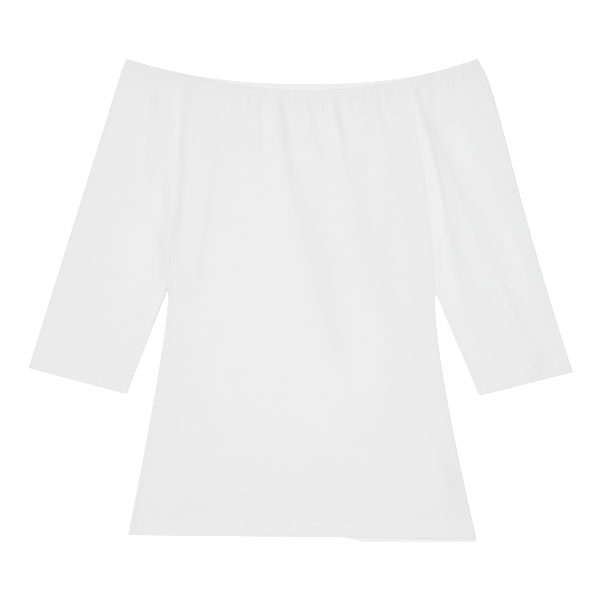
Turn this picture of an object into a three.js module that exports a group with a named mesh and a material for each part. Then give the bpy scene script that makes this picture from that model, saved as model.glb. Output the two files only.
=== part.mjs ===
// An off-shoulder top in white jersey, laid flat with its front up: a front and a back, two three-quarter
// raglan sleeves, and a folded casing with elastic in it round the whole neckline, which gathers the cloth below.
// Millimetres. +Z is up from the surface that it lies on, +Y runs from the hem to the neckline, and +X is to
// the right as it is looked at, towards the sleeve of the wearer's left arm. The origin is on the surface,
// under the middle of the laid-out garment.
import * as THREE from "three";

// The cloth
const WALL = 1.2; // one layer of jersey
const SEAM_GAP = 0.4; // left between two sewn pieces
const LAYER_GAP = 0.4; // left between a front layer and the back layer under it
const SLEEVE_SLIT = 0.6; // the same inside a sleeve
const HEM_DEPTH = 20; // turned up once at the hem and the cuffs
const HEM_EXTRA = 0.7; // what the turned-up layer adds to a wall
const HEM_STEP = 2.5; // over which the wall thins again above the turn-up
const EDGE_ROUND = 1.9; // how far in a folded edge rounds over
const CUFF_CORNER = 2.5; // radius at the cuffs' corners

// The neckline: a shallow curve of each layer's own, from one shoulder corner to the other
const NECK_MIDDLE_X = 1.5;
const NECK_HALF_WIDTH = 236.9;
const NECK_LOW_SHIFT = 0.04; // how far to +X its lowest place lies, as a share of the half width
const NECKLINE = {
  front: { middleY: 282.5, rise: 43.7, power: 1.8 },
  back: { middleY: 292.1, rise: 34.1, power: 2.4 },
};
const CASING_DEPTH = 15.5; // of the folded band
const CASING_WALL = 2.2; // two layers of cloth and the elastic between them
const CASING_RUN_GAP = 0.9; // between the band's front run and its back run
const CASING_CORNER_RISE = 0.7; // the band stands square to its curve, so its lower edge climbs a little more
const CASING_LEAN = { plus: 8.6, minus: 6.1 }; // how far its ends slant outwards below the shoulder corners
const CASING_PUCKER = { count: 40, height: 0.4 }; // the elastic's own small waves, on the front run

// Seams and free edges as they lie, one set for each side of the garment
const SIDES = {
  plus: {
    sign: 1,
    seamAtNeck: 0.585, // where the raglan seam meets the casing, as a share of the half width
    armholeBend: [178.6, 150],
    underarm: [182.6, 8.2],
    sideSeamBend: [176.8, -57.9],
    hemCorner: [237.7, -322.6],
    cuffInner: [241.1, -129.5],
    cuffOuter: [368.3, -97.4],
    foldBends: [
      [288, 142.9],
      [271.5, 262.5],
    ],
  },
  minus: {
    sign: -1,
    seamAtNeck: 0.667,
    armholeBend: [-160.5, 165],
    underarm: [-179.8, 14],
    sideSeamBend: [-174.2, -17.1],
    hemCorner: [-233.1, -317.4],
    cuffInner: [-234.6, -127.5],
    cuffOuter: [-367.9, -91.9],
    foldBends: [
      [-325, 45.6],
      [-283.5, 178.8],
    ],
  },
};
// The back's hem hangs lower than the front's on the plus side, from a small step in it.
const BACK_HEM = { tuckedUp: 0.5, lowY: -326.7, stepFrom: 54, stepTo: 85 };
const UNDERARM_SHARE = 0.53; // how far up a body panel's edge the underarm is

// How the cloth stands off what it lies on
const NECK_LIFT = { front: 2.1, back: 0.5 };
const NECK_LIFT_FADE = 80; // how far below the casing the lift has gone
const DRIFT_POWER = 1.15; // a gather drifts a little faster as it runs down
const SOFTNESS = 0.35; // rounds the crease where a raised fold comes down to rest

const table = (columns, rows) =>
  rows.map((row) => Object.fromEntries(columns.map((name, i) => [name, row[i]])));

// Gathers that hang from the casing. x is where a trough starts, run how far it goes down, drift how far it
// moves to +X on its way, width half its breadth, and depth how far it sinks. Its +X side is wider.
const GATHER_COLUMNS = ["x", "run", "drift", "width", "depth"];
const GATHERS = {
  front: table(GATHER_COLUMNS, [
    [-141, 54, 1, 9, 1.8],
    [-111, 42, -1, 6, 1.1],
    [-82, 60, 0, 6, 1.0],
    [-65, 22, 0, 4, 1.1],
    [-52, 96, 3, 4.5, 1.4],
    [-22, 126, 26, 5.5, 1.6],
    [-4, 26, 3, 4, 1.2],
    [15, 92, 27, 5, 1.4],
    [33, 22, 3, 4, 1.0],
    [50, 84, 25, 5, 1.5],
    [70, 24, 5, 4.5, 1.1],
    [88, 24, 5, 4.5, 1.1],
    [106, 70, 20, 5, 1.4],
    [124, 26, 5, 5, 1.1],
  ]),
  back: table(GATHER_COLUMNS, [
    [-146, 60, -6, 6, 0.7],
    [-121, 96, -10, 7, 0.8],
    [-97, 38, -2, 6, 0.6],
    [-74, 70, 0, 6, 0.8],
    [-50, 44, 2, 6, 0.7],
    [-24, 110, 4, 7, 0.8],
    [1, 52, 2, 6, 0.7],
    [25, 34, 3, 6, 0.6],
    [49, 88, 8, 7, 0.8],
    [74, 46, 4, 6, 0.7],
    [98, 72, 10, 6, 0.8],
    [124, 40, 5, 6, 0.7],
  ]),
  plus: table(GATHER_COLUMNS, [
    [163, 30, 5, 5, 0.9],
    [179, 44, 12, 6, 1.1],
    [205, 30, 6, 4.5, 0.9],
    [226, 24, 9, 4.5, 0.8],
  ]),
  minus: table(GATHER_COLUMNS, [
    [-188, 66, -1, 8.5, 1.8],
    [-207, 24, -3, 4, 0.8],
    [-227, 28, -3, 5, 1.3],
    [-238, 18, -4, 4, 0.6],
  ]),
};
const GATHER_PLUS_SHARE = 2; // how many times wider a gather's +X side is

// Long soft folds, each from one point by a second to a third, fading towards both ends. widthMinus and
// widthPlus are half its breadth on its -X and its +X side, and height is how far it stands up.
const FOLD_COLUMNS = ["x0", "y0", "x1", "y1", "x2", "y2", "widthMinus", "widthPlus", "height"];
const FOLDS = {
  front: table(FOLD_COLUMNS, [
    [-37, 272, -28, 190, -6, 100, 16, 10, 1.9],
    [-16, 160, -2, 50, 46, -80, 44, 24, 2.8],
    [44, 268, 50, 220, 62, 170, 7, 7, 1.1],
    [56, 200, 62, 110, 112, -50, 30, 22, 2.0],
    [100, 262, 118, 190, 150, 20, 30, 26, 1.7],
    [-122, 214, -130, 110, -150, 4, 28, 10, 1.4],
    [168, -172, 190, -235, 216, -296, 14, 9, 1.1],
    [-190, -200, -176, -250, -166, -300, 11, 11, 0.7],
  ]),
  plus: table(FOLD_COLUMNS, [
    [148, 290, 186, 190, 194, 100, 8, 5, 1.7],
    [186, 165, 194, 85, 222, -22, 12, 13, 2.4],
    [160, 262, 206, 160, 238, 76, 16, 8, 1.5],
    [226, 100, 262, 40, 306, -60, 16, 7, 1.0],
    [198, 286, 246, 176, 288, 112, 20, 90, 2.0],
    [262, 146, 298, 70, 332, -30, 13, 70, 1.3],
    [234, 294, 250, 276, 266, 244, 4, 10, 0.6],
    [303, -64, 308, -84, 313, -106, 16, 16, 1.2],
  ]),
  minus: table(FOLD_COLUMNS, [
    [-162.5, 296, -160, 200, -174, 78, 4.2, 7.5, 1.8],
    [-190, 170, -186, 120, -181, 66, 15, 9, 1.6],
    [-207, 266, -209, 200, -208, 120, 10, 9, 1.2],
    [-216, 122, -178, 66, -200, 0, 34, 10, 3.0],
    [-177, 22, -187, -4, -203, -48, 8, 9, 3.4],
    [-165, 170, -167, 110, -175, 48, 30, 6, 1.5],
  ]),
};

// Grids: how finely each piece is divided
const FRONT_COLUMNS = 64;
const BACK_COLUMNS = 44;
const SLEEVE_COLUMNS = 20;
const ARMHOLE_COLUMNS = 9; // how many of them end on the armhole, and the rest end on the casing
const CASING_COLUMNS = 2 * CASING_PUCKER.count;

const SLEEVE_SEAM_SHARE = ARMHOLE_COLUMNS / SLEEVE_COLUMNS;

const mix = (a, b, t) => a + (b - a) * t;
const clamp01 = (t) => Math.min(1, Math.max(0, t));
const smooth = (t) => clamp01(t) ** 2 * (3 - 2 * clamp01(t));
const point = (x, y) => new THREE.Vector2(x, y);
const shifted = (p, dx, dy) => point(p.x + dx, p.y + dy);

// A point of the casing, at s from -1 to 1 round one layer and at w from its lower edge, 0, to its upper, 1.
function neckPoint(layer, s, w) {
  const { middleY, rise, power } = NECKLINE[layer];
  const lean = s < 0 ? CASING_LEAN.minus : CASING_LEAN.plus;
  const climb = Math.abs(s - NECK_LOW_SHIFT * (1 - s ** 2)) ** power;
  const upper = point(NECK_MIDDLE_X + s * NECK_HALF_WIDTH, middleY + rise * climb);
  const lower = point(
    NECK_MIDDLE_X + s * (NECK_HALF_WIDTH + lean),
    middleY - CASING_DEPTH + (rise + CASING_CORNER_RISE) * climb,
  );
  return lower.lerp(upper, w);
}

// How far a point of a layer is below the casing's lower edge.
function belowCasing(layer, x, y) {
  const lean = x < NECK_MIDDLE_X ? CASING_LEAN.minus : CASING_LEAN.plus;
  const s = (x - NECK_MIDDLE_X) / (NECK_HALF_WIDTH + lean);
  return neckPoint(layer, Math.max(-1, Math.min(1, s)), 0).y - y;
}

// For a line that bends once: the distance from (x, y) to it, how far along it, 0 to 1, its nearest point is,
// and on which side (x, y) lies, from -1 on the -X side of a line that runs down to 1 on its +X side.
function nearestOnBend(x, y, a, bend, b) {
  const STEPS = 10;
  const TINY = 1e-6; // keeps the division safe on the line itself
  let best = { off: Infinity, along: 0, side: 0 };
  const onCurve = (t) => [
    (1 - t) ** 2 * a[0] + 2 * t * (1 - t) * bend[0] + t ** 2 * b[0],
    (1 - t) ** 2 * a[1] + 2 * t * (1 - t) * bend[1] + t ** 2 * b[1],
  ];
  for (let i = 0; i < STEPS; i++) {
    const [px, py] = onCurve(i / STEPS);
    const [qx, qy] = onCurve((i + 1) / STEPS);
    const [dx, dy] = [qx - px, qy - py];
    const k = clamp01(((x - px) * dx + (y - py) * dy) / (dx ** 2 + dy ** 2));
    const off = Math.hypot(x - mix(px, qx, k), y - mix(py, qy, k));
    if (off >= best.off) continue;
    const across = (dx * (y - py) - dy * (x - px)) / Math.hypot(dx, dy);
    const side = Math.max(-1, Math.min(1, across / Math.max(off, TINY)));
    best = { off, along: (i + k) / STEPS, side };
  }
  return best;
}

const swell = (off, width) => Math.exp(-((off / width) ** 2));

// A gather is deepest at the casing and fades as it runs down.
function gatherAt(layer, gather, x, y) {
  const down = belowCasing(layer, x, y) / gather.run;
  if (down > 1.2) return 0;
  const centre = gather.x + gather.drift * Math.max(0, down) ** DRIFT_POWER;
  const fade = 1 - smooth(down / 1.2);
  const widened = gather.width * (1 + 0.5 * clamp01(down)) * (x < centre ? 1 : GATHER_PLUS_SHARE);
  return -gather.depth * fade * swell(x - centre, widened);
}

function foldAt(fold, x, y) {
  const near = nearestOnBend(x, y, [fold.x0, fold.y0], [fold.x1, fold.y1], [fold.x2, fold.y2]);
  const width = mix(fold.widthMinus, fold.widthPlus, smooth((near.side + 1) / 2));
  return fold.height * Math.sin(Math.PI * mix(0.05, 0.95, near.along)) * swell(near.off, width);
}

// How far a layer's underside stands above what it would rest on if it had no folds.
function loft(layer, x, y) {
  const lift = NECK_LIFT[layer] * (1 - smooth(belowCasing(layer, x, y) / NECK_LIFT_FADE));
  const parts = layer === "front" ? ["front", "plus", "minus"] : ["back"];
  let height = lift;
  for (const part of parts) {
    for (const gather of GATHERS[part]) height += gatherAt(layer, gather, x, y);
    for (const fold of FOLDS[part] ?? []) height += foldAt(fold, x, y);
  }
  return Math.max(0, (height + Math.hypot(height, SOFTNESS)) / 2 - SOFTNESS / 2);
}

// What a turn-up adds to the wall, at a distance from the hem or cuff.
const turnUp = (fromEdge) => HEM_EXTRA * (1 - smooth((fromEdge - HEM_DEPTH) / HEM_STEP));

// A patch between four edges, each a function of 0 to 1, blended so that it meets all of them.
function patch({ bottom, top, left, right }) {
  const corners = [bottom(0), bottom(1), top(0), top(1)];
  return (u, v) => {
    const blend = (axis) =>
      (1 - v) * bottom(u)[axis] +
      v * top(u)[axis] +
      (1 - u) * left(v)[axis] +
      u * right(v)[axis] -
      (1 - u) * (1 - v) * corners[0][axis] -
      u * (1 - v) * corners[1][axis] -
      (1 - u) * v * corners[2][axis] -
      u * v * corners[3][axis];
    return point(blend("x"), blend("y"));
  };
}

const bendCurve = (a, bend, b) => new THREE.QuadraticBezierCurve(a, point(...bend), b);

// The edge that a panel has along the casing, at s from -1 to 1.
const underCasing = (layer, s) => shifted(neckPoint(layer, s, 0), 0, -SEAM_GAP);

// Seam lines of one side, for the layer whose casing edge they end on.
function seamLines(layer, side) {
  const seamTop = underCasing(layer, side.sign * side.seamAtNeck);
  const underarm = point(...side.underarm);
  const hemX = side.hemCorner[0];
  const hemCorner = point(hemX, layer === "front" ? side.hemCorner[1] : backHemY(hemX));
  return {
    armhole: bendCurve(underarm, side.armholeBend, seamTop),
    sideSeam: bendCurve(hemCorner, side.sideSeamBend, underarm),
  };
}

function frontHemY(x) {
  const { minus, plus } = SIDES;
  const share = (x - minus.hemCorner[0]) / (plus.hemCorner[0] - minus.hemCorner[0]);
  return mix(minus.hemCorner[1], plus.hemCorner[1], share);
}

function backHemY(x) {
  const step = smooth((x - BACK_HEM.stepFrom) / (BACK_HEM.stepTo - BACK_HEM.stepFrom));
  return mix(frontHemY(x) + BACK_HEM.tuckedUp, BACK_HEM.lowY, step);
}

// The outline of a body panel as a patch: u runs from -X to +X and v from the hem to the casing.
function bodyPatch(layer) {
  const half = SEAM_GAP / 2;
  const edgeOf = (side) => {
    const { armhole, sideSeam } = seamLines(layer, side);
    return (v) =>
      v < UNDERARM_SHARE
        ? shifted(sideSeam.getPoint(v / UNDERARM_SHARE), -side.sign * half, 0)
        : shifted(armhole.getPoint((v - UNDERARM_SHARE) / (1 - UNDERARM_SHARE)), -side.sign * half, 0);
  };
  const left = edgeOf(SIDES.minus);
  const right = edgeOf(SIDES.plus);
  const hemY = layer === "front" ? frontHemY : backHemY;
  return patch({
    left,
    right,
    bottom: (u) => {
      const x = mix(left(0).x, right(0).x, u);
      return point(x, hemY(x));
    },
    top: (u) => {
      const s = mix(-SIDES.minus.seamAtNeck, SIDES.plus.seamAtNeck, u);
      return shifted(underCasing(layer, s), mix(half, -half, u), 0);
    },
  });
}

// The outline of one layer of a sleeve: s runs from the underarm seam, 0, to the outer fold, 1, and t from
// the cuff, 0, to the armhole and the casing, 1.
function sleevePatch(layer, side) {
  const half = SEAM_GAP / 2;
  const { armhole } = seamLines(layer, side);
  const inner = point(...side.cuffInner);
  const outer = point(...side.cuffOuter);
  const cuffLength = inner.distanceTo(outer);
  const upSleeve = outer.clone().sub(inner).rotateAround(point(0, 0), (side.sign * Math.PI) / 2).normalize();
  const cuffEnd = (s) => {
    const fromCorner = Math.min(s, 1 - s) * cuffLength;
    const inset = 1 - Math.min(1, fromCorner / CUFF_CORNER);
    const raise = CUFF_CORNER * (1 - Math.sqrt(1 - 0.8 * inset ** 2));
    return inner.clone().lerp(outer, s).addScaledVector(upSleeve, raise);
  };
  const underarm = shifted(point(...side.underarm), side.sign * half, 0);
  const [lowBend, highBend] = side.foldBends.map((bend) => point(...bend));
  const outerFold = new THREE.CubicBezierCurve(cuffEnd(1), lowBend, highBend, underCasing("front", side.sign));
  return patch({
    left: (t) => cuffEnd(0).lerp(underarm, t),
    right: (t) => outerFold.getPoint(t),
    bottom: cuffEnd,
    top: (s) => {
      if (s < SLEEVE_SEAM_SHARE)
        return shifted(armhole.getPoint(s / SLEEVE_SEAM_SHARE), side.sign * half, 0);
      const share = (s - SLEEVE_SEAM_SHARE) / (1 - SLEEVE_SEAM_SHARE);
      const onNeck = underCasing(layer, side.sign * mix(side.seamAtNeck, 1, share));
      return shifted(onNeck, side.sign * half * (1 - share), 0);
    },
  });
}

// A closed shell from rows of points. rows[j][i] is a point, and where ring is true each row closes on itself.
class ShellBuilder {
  constructor() {
    this.positions = [];
    this.faces = [];
  }
  grid(rows) {
    return rows.map((row) =>
      row.map(([x, y, z]) => {
        this.positions.push(x, y, z);
        return this.positions.length / 3 - 1;
      }),
    );
  }
  quad(a, b, c, d) {
    this.faces.push(a, b, c, a, c, d);
  }
  // Joins two rows of equally many points with a strip.
  strip(low, high, ring) {
    const count = ring ? low.length : low.length - 1;
    for (let i = 0; i < count; i++) {
      const next = (i + 1) % low.length;
      this.quad(low[i], low[next], high[next], high[i]);
    }
  }
  surface(rows, ring) {
    for (let j = 0; j + 1 < rows.length; j++) this.strip(rows[j], rows[j + 1], ring);
  }
  geometry() {
    return new THREE.BufferGeometry()
      .setAttribute("position", new THREE.Float32BufferAttribute(this.positions, 3))
      .setIndex(this.faces);
  }
}

// One layer of cloth: upper and lower points over the same grid, with a wall all round.
function sheetSolid(upperRows, lowerRows) {
  const shell = new ShellBuilder();
  const upper = shell.grid(upperRows);
  const lower = shell.grid(lowerRows);
  const last = upper.length - 1;
  const end = upper[0].length - 1;
  shell.surface(upper, false);
  shell.surface(lower.map((row) => [...row].reverse()), false);
  shell.strip(lower[0], upper[0], false);
  shell.strip([...lower[last]].reverse(), [...upper[last]].reverse(), false);
  const column = (rows, i) => rows.map((row) => row[i]);
  shell.strip(column(lower, end), column(upper, end), false);
  shell.strip(column(lower, 0).reverse(), column(upper, 0).reverse(), false);
  return shell.geometry();
}

// A flattened tube of cloth, open at both ends: outer and inner rings, with a rim between them at each end.
function tubeSolid(outerRings, innerRings, turned) {
  const shell = new ShellBuilder();
  const facing = (ring) => (turned ? [...ring].reverse() : ring);
  const outer = shell.grid(outerRings).map(facing);
  const inner = shell.grid(innerRings).map(facing);
  const last = outer.length - 1;
  shell.surface(outer, true);
  shell.surface(inner.map((ring) => [...ring].reverse()), true);
  shell.strip(inner[0], outer[0], true);
  shell.strip(outer[last], inner[last], true);
  return shell.geometry();
}

function meshOf(name, geometry, material) {
  geometry.computeVertexNormals();
  const mesh = new THREE.Mesh(geometry, material);
  mesh.name = name;
  return mesh;
}

// Row positions from the hem, 0, to the casing, 1: close together at the turn-up and under the casing, and
// with one row at the underarm.
function bodyRows(length) {
  const fromHem = [0, HEM_DEPTH, HEM_DEPTH + HEM_STEP, 80, 155, 230];
  const fromCasing = [220, 176, 138, 105, 76, 52, 33, 18, 7, 0];
  return [...fromHem.map((d) => d / length), UNDERARM_SHARE, ...fromCasing.map((d) => 1 - d / length)];
}

// A body panel: the back rests on the surface, and the front follows the back under it.
function bodyPanel(layer, columns) {
  const at = bodyPatch(layer);
  const length = at(0.5, 1).distanceTo(at(0.5, 0));
  const upper = [];
  const lower = [];
  for (const v of bodyRows(length)) {
    const upperRow = [];
    const lowerRow = [];
    for (let i = 0; i <= columns; i++) {
      const { x, y } = at(i / columns, v);
      const extra = turnUp(v * length);
      const base = layer === "front" ? loft("back", x, y) + WALL + LAYER_GAP + extra : 0;
      const z = base + loft(layer, x, y);
      lowerRow.push([x, y, z]);
      upperRow.push([x, y, z + WALL + extra]);
    }
    upper.push(upperRow);
    lower.push(lowerRow);
  }
  return sheetSolid(upper, lower);
}

// Places across a flattened tube, from fold to fold: close to each fold, then evenly.
function acrossTube(count, width) {
  const nearFold = [0, 0.3, 1].map((k) => (k * EDGE_ROUND) / width);
  const middle = [];
  for (let i = 1; i < count; i++) middle.push(i / count);
  return [...nearFold, ...middle, ...nearFold.map((k) => 1 - k).reverse()];
}

// How full the tube is at a distance from its fold: 0 on the fold, 1 where the edge has rounded over.
const fullness = (fromFold) => Math.sqrt(1 - (1 - clamp01(fromFold / EDGE_ROUND)) ** 2);

const SLEEVE_ROWS = [0, 0.068, 0.077, 0.18, 0.3, 0.42, 0.54, 0.65, 0.75, 0.84, 0.92, 0.97, 1];

// A sleeve is a tube pressed flat: its front layer from the underarm seam to the fold, then its back layer.
function sleeve(side) {
  const layers = { front: sleevePatch("front", side), back: sleevePatch("back", side) };
  const cuffWidth = layers.front(0, 0).distanceTo(layers.front(1, 0));
  const length = layers.front(1, 0).distanceTo(layers.front(1, 1));
  const across = acrossTube(SLEEVE_COLUMNS, cuffWidth);
  const backAcross = across.slice(1, -1).reverse();
  const insetShare = WALL / cuffWidth;
  const outerRings = [];
  const innerRings = [];
  for (const t of SLEEVE_ROWS) {
    const wall = WALL + turnUp(t * length);
    const place = (layer, s, inside) => {
      const share = inside ? mix(insetShare, 1 - insetShare, s) : s;
      const { x, y } = layers[layer](share, t);
      const full = fullness(Math.min(s, 1 - s) * cuffWidth);
      const middle = wall + SLEEVE_SLIT / 2;
      const bottom = loft("back", x, y) + (inside ? wall : 0);
      const top = loft("back", x, y) + loft("front", x, y) + SLEEVE_SLIT + (inside ? wall : 2 * wall);
      return [x, y, mix(middle, layer === "front" ? top : bottom, full)];
    };
    const ring = (inside) => [
      ...across.map((s) => place("front", s, inside)),
      ...backAcross.map((s) => place("back", s, inside)),
    ];
    outerRings.push(ring(false));
    innerRings.push(ring(true));
  }
  return tubeSolid(outerRings, innerRings, side.sign < 0);
}

// The casing is a band pressed flat: its front run lies over its back run, and it turns at the shoulder corners.
function casing() {
  const across = acrossTube(CASING_COLUMNS, 2 * NECK_HALF_WIDTH);
  const backAcross = across.slice(1, -1).reverse();
  const insetShare = CASING_WALL / (2 * NECK_HALF_WIDTH);
  const bandRows = [0, 0.12, 0.5, 0.88, 1];
  const outerRings = [];
  const innerRings = [];
  for (const w of bandRows) {
    const edge = Math.abs(2 * w - 1);
    const thin = 0.32 * CASING_WALL * edge ** 4; // the folded band is thinner along both edges
    const place = (layer, k, inside) => {
      const share = inside ? mix(insetShare, 1 - insetShare, k) : k;
      const { x, y } = neckPoint(layer, 2 * share - 1, w);
      const full = fullness(Math.min(k, 1 - k) * 2 * NECK_HALF_WIDTH);
      const middle = CASING_WALL + CASING_RUN_GAP / 2;
      const wave = Math.cos(2 * Math.PI * CASING_PUCKER.count * k);
      const pucker = CASING_PUCKER.height * wave * (1 - w) * (1 - edge);
      const top = 2 * CASING_WALL + CASING_RUN_GAP - (inside ? CASING_WALL - thin : thin - pucker);
      const bottom = inside ? CASING_WALL - thin : 0;
      return [x, y, mix(middle, layer === "front" ? top : bottom, full)];
    };
    const ring = (inside) => [
      ...across.map((k) => place("front", k, inside)),
      ...backAcross.map((k) => place("back", k, inside)),
    ];
    outerRings.push(ring(false));
    innerRings.push(ring(true));
  }
  return tubeSolid(outerRings, innerRings, false);
}

const jersey = new THREE.MeshStandardMaterial({ color: 0xececed, roughness: 0.92, metalness: 0 });
const casingJersey = new THREE.MeshStandardMaterial({ color: 0xe9e9ea, roughness: 0.92, metalness: 0 });

const offShoulderTop = new THREE.Group();
offShoulderTop.add(
  meshOf("back_body", bodyPanel("back", BACK_COLUMNS), jersey),
  meshOf("front_body", bodyPanel("front", FRONT_COLUMNS), jersey.clone()),
  meshOf("sleeve_left_arm", sleeve(SIDES.plus), jersey.clone()),
  meshOf("sleeve_right_arm", sleeve(SIDES.minus), jersey.clone()),
  meshOf("neck_casing", casing(), casingJersey),
);

export default offShoulderTop;
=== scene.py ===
# %% [markdown]
# # An off-shoulder top in white jersey, laid flat
#
# The top has five sewn pieces: a front, a back, two raglan sleeves and an elastic casing round the
# neckline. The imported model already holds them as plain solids. This script dresses each solid with
# finer cloth: gathers, folds, puckers, turned-up hems, seams, stitches and the knit itself.
#
# Blender works in metres, with the garment flat on the floor, its front up and its hem towards -Y.

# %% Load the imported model
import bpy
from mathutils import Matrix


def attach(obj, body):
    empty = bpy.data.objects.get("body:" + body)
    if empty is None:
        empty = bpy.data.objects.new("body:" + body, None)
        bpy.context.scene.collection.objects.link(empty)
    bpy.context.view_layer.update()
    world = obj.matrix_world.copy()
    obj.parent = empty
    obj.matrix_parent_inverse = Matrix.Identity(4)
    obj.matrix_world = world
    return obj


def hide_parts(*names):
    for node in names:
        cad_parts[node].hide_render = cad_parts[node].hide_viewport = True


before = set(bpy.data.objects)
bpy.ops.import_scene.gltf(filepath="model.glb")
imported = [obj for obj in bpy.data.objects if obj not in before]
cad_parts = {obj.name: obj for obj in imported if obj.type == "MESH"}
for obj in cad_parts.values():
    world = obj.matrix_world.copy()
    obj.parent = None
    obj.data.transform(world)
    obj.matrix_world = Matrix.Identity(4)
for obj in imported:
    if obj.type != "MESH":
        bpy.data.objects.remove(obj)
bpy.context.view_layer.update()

import math

import bpy
import numpy as np

MM = 0.001
print("nodes:", ", ".join(sorted(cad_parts)))

# %% [markdown]
# ## The camera
#
# The photograph looks straight down on the garment. A long lens from almost two metres keeps the flat
# lay free of perspective. The distance follows from the lens and from how much floor a picture's width
# should show, so the garment fills the frame as it does in the photograph.

# %% The camera
LENS_MM, SENSOR_MM = 85.0, 36.0
PHOTO_PIXELS, MM_TO_A_PIXEL = 600, 1.35
FLOOR_WIDTH = PHOTO_PIXELS * MM_TO_A_PIXEL * MM  # seen across the picture
CLOTH_LEVEL = 2.5 * MM  # the height at which that width is seen
OFF_CENTRE = (-0.7 * MM, 0.3 * MM)  # the photograph isn't centred on the garment to the last pixel


def put(name, data):
    """A new object of the given data, linked to the scene."""
    thing = bpy.data.objects.new(name, data)
    bpy.context.scene.collection.objects.link(thing)
    return thing


camera_data = bpy.data.cameras.new("camera")
camera_data.lens = LENS_MM
camera_data.sensor_width = SENSOR_MM
camera = put("camera", camera_data)
camera.location = (*OFF_CENTRE, CLOTH_LEVEL + FLOOR_WIDTH * LENS_MM / SENSOR_MM)
bpy.context.scene.camera = camera
print(f"camera {camera.location.z:.3f} m above the floor")

# %% [markdown]
# ## The garment's sizes
#
# These are the same sizes as in the solids, in millimetres, so every piece lands on its solid. A real
# jersey is thinner than a solid's wall, so the cloth here is 0.7 mm thick and some air takes up the rest
# of the room between front and back. The air thins out towards every edge where the two layers join.

# %% The garment's sizes, in millimetres
CLOTH = 0.7  # one layer of jersey
TURN_UP = {"depth": 19.0, "extra": 0.22, "step": 4.5}  # hem and cuffs, turned up once
# between front and back: away from edges, at an edge, and how far in from a hem and from a side it grows
AIR = {"inside": 1.1, "at_edge": 0.5, "from_hem": 60.0, "from_side": 25.0}
CASING = {"depth": 15.5, "wall": 2.0, "gap": 0.8, "corner_rise": 0.7, "lean_plus": 8.6, "lean_minus": 6.1}
TUCK = 0.04  # share of the casing's depth that the panels run on inside it
TUCK_FALL = 0.4  # how far a panel's last edge slopes down in there
NECK = {"middle_x": 1.5, "half_width": 236.9, "low_shift": 0.04}  # its lowest place lies a little to +X
NECKLINE = {  # middle y, rise to the corners, power of the curve
    "front": (282.5, 43.7, 1.8),
    "back": (292.1, 34.1, 2.4),
}
SIDES = {  # the wearer's left arm is on the plus side
    "plus": {
        "sign": 1, "seam_at_neck": 0.585, "armhole_bend": (178.6, 150.0), "underarm": (182.6, 8.2),
        "side_bend": (176.8, -57.9), "hem_corner": (237.7, -322.6), "cuff_inner": (241.1, -129.5),
        "cuff_outer": (368.3, -97.4), "fold_bends": ((288.0, 142.9), (271.5, 262.5)),
    },
    "minus": {
        "sign": -1, "seam_at_neck": 0.667, "armhole_bend": (-160.5, 165.0), "underarm": (-179.8, 14.0),
        "side_bend": (-174.2, -17.1), "hem_corner": (-233.1, -317.4), "cuff_inner": (-234.6, -127.5),
        "cuff_outer": (-367.9, -91.9), "fold_bends": ((-325.0, 45.6), (-283.5, 178.8)),
    },
}
BACK_HEM = {"tucked_up": 0.5, "low_y": -326.7, "step_from": 54.0, "step_to": 85.0}
UNDERARM_SHARE = 0.53  # how far up a body panel's edge the underarm is
ARMHOLE_SHARE = 0.45  # of a sleeve's upper end, the rest is on the casing
CUFF_CORNER = 2.5  # radius at the cuffs' corners
TINY = 1e-6  # keeps a division by a distance of zero finite

# %% [markdown]
# ## Where the folds lie
#
# Cloth that hangs from elastic falls in gathers: troughs that start at the casing and fade as they run
# down. Below them, and along the raglan seams, the cloth keeps a few long soft folds. They are listed
# one row each, because uneven length, depth and spacing is what makes them look real.

# %% Gathers and folds, in millimetres
# x where a trough starts, how far it runs down, its drift to +X on the way, half its breadth, its depth
GATHERS = {
    "front": [
        (-141, 54, 1, 9, 1.8), (-111, 42, -1, 6, 1.1), (-82, 60, 0, 6, 1.0), (-65, 22, 0, 4, 1.1),
        (-52, 96, 3, 4.5, 1.4), (-22, 126, 26, 5.5, 1.6), (-4, 26, 3, 4, 1.2), (15, 92, 27, 5, 1.4),
        (33, 22, 3, 4, 1.0), (50, 84, 25, 5, 1.5), (70, 24, 5, 4.5, 1.1), (88, 24, 5, 4.5, 1.1),
        (106, 70, 20, 5, 1.4), (124, 26, 5, 5, 1.1), (163, 30, 5, 5, 0.9), (179, 44, 12, 6, 1.1),
        (205, 30, 6, 4.5, 0.9), (226, 24, 9, 4.5, 0.8), (-188, 66, -1, 8.5, 1.8), (-207, 24, -3, 4, 0.8),
        (-227, 28, -3, 5, 1.3), (-238, 18, -4, 4, 0.6),
    ],
    "back": [
        (-146, 60, -6, 6, 0.7), (-121, 96, -10, 7, 0.8), (-97, 38, -2, 6, 0.6), (-74, 70, 0, 6, 0.8),
        (-50, 44, 2, 6, 0.7), (-24, 110, 4, 7, 0.8), (1, 52, 2, 6, 0.7), (25, 34, 3, 6, 0.6),
        (49, 88, 8, 7, 0.8), (74, 46, 4, 6, 0.7), (98, 72, 10, 6, 0.8), (124, 40, 5, 6, 0.7),
    ],
}
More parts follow.
